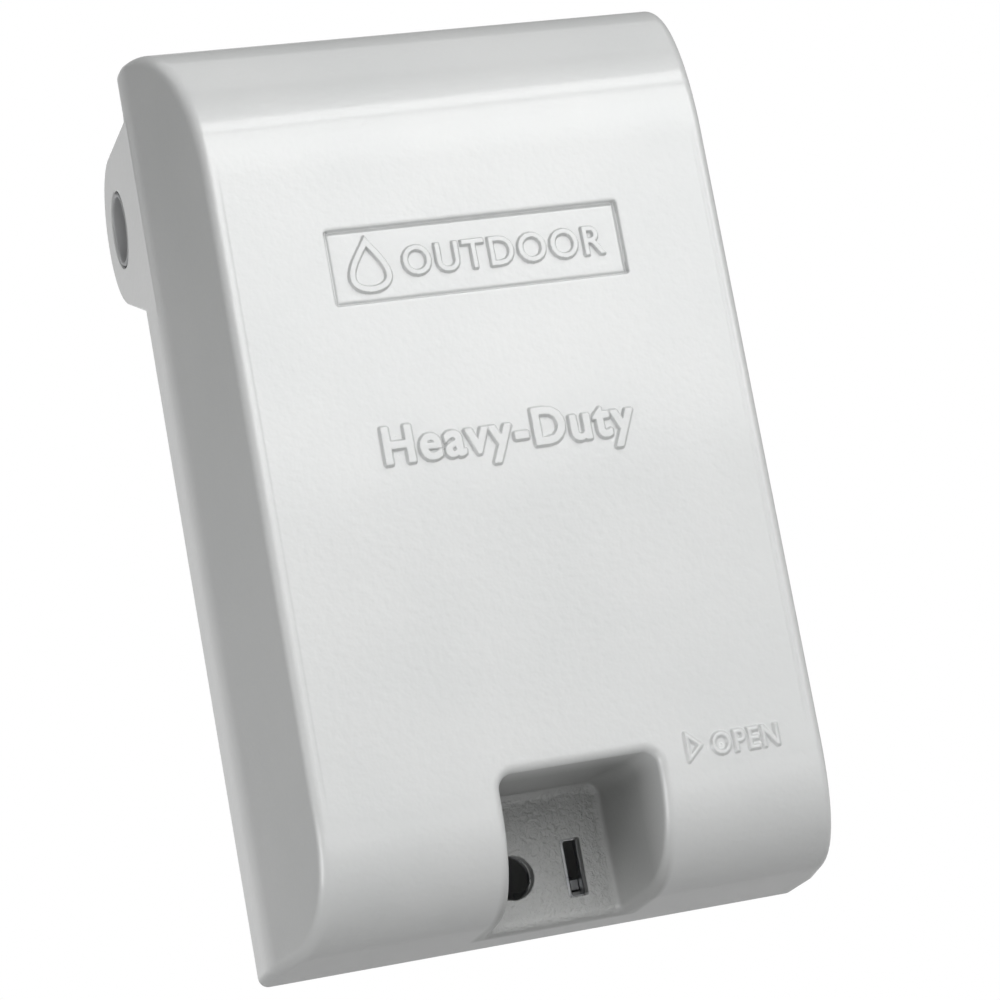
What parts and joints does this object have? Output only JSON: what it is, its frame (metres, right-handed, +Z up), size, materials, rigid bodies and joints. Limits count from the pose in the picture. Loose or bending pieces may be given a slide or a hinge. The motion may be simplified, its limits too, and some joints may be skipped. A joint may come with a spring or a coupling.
{
  "type": "weatherproof outlet cover",
  "caption": "Lockable die-cast weatherproof outlet cover: domed lid hinged at the top of a wall-mounted base, with a padlock pocket and a sliding latch.",
  "frame": {"origin": "on the wall plane, at the middle of the device opening and of the lid's height", "axes": "+X right seen from the front, +Y into the wall, +Z up"},
  "size_m": [0.1, 0.093, 0.1633],
  "materials": {
    "grey_coat": "metallic grey powder coat, orange-peel texture",
    "zinc_steel": "zinc plated",
    "stainless": "satin",
    "rubber": "matte",
    "foam": "closed-cell foam",
    "grey_plastic": "matte moulded",
    "bush_plastic": "matte moulded"
  },
  "bodies": {
    "wall_side": {"base_housing": "grey_coat", "wall_gasket": "foam", "device_gasket": "foam", "device_adapter_plate": "grey_plastic", "weather_seal_left": "foam", "weather_seal_right": "foam", "hasp_bracket": "zinc_steel", "hasp_screw_front": "zinc_steel", "hasp_screw_rear": "zinc_steel", "cord_seal_left": "rubber", "cord_seal_right": "rubber", "mounting_screw_top": "stainless", "mounting_screw_bottom": "stainless", "sealing_washer_top": "rubber", "sealing_washer_bottom": "rubber"},
    "lid": {"lid_casting": "grey_coat", "latch_spring": "stainless", "latch_guide_screw_upper": "zinc_steel", "latch_guide_screw_lower": "zinc_steel", "hinge_bush_left": "bush_plastic", "hinge_bush_right": "bush_plastic", "hinge_ring_left": "stainless", "hinge_ring_right": "stainless"},
    "latch": {"latch_slider": "zinc_steel"}
  },
  "joints": [
    {"name": "lid_hinge", "type": "hinge", "parent": "wall_side", "child": "lid", "pos_m": [0, -0.028, 0.0592], "axis": [-1, 0, 0], "range_deg": [0, 100]},
    {"name": "latch_slide", "type": "slide", "parent": "lid", "child": "latch", "axis": [1, 0, 0], "range_m": [0, 0.0022], "stiffness_N_per_m": 300, "springref_m": -0.002, "deforming": ["latch_spring"]}
  ]
}
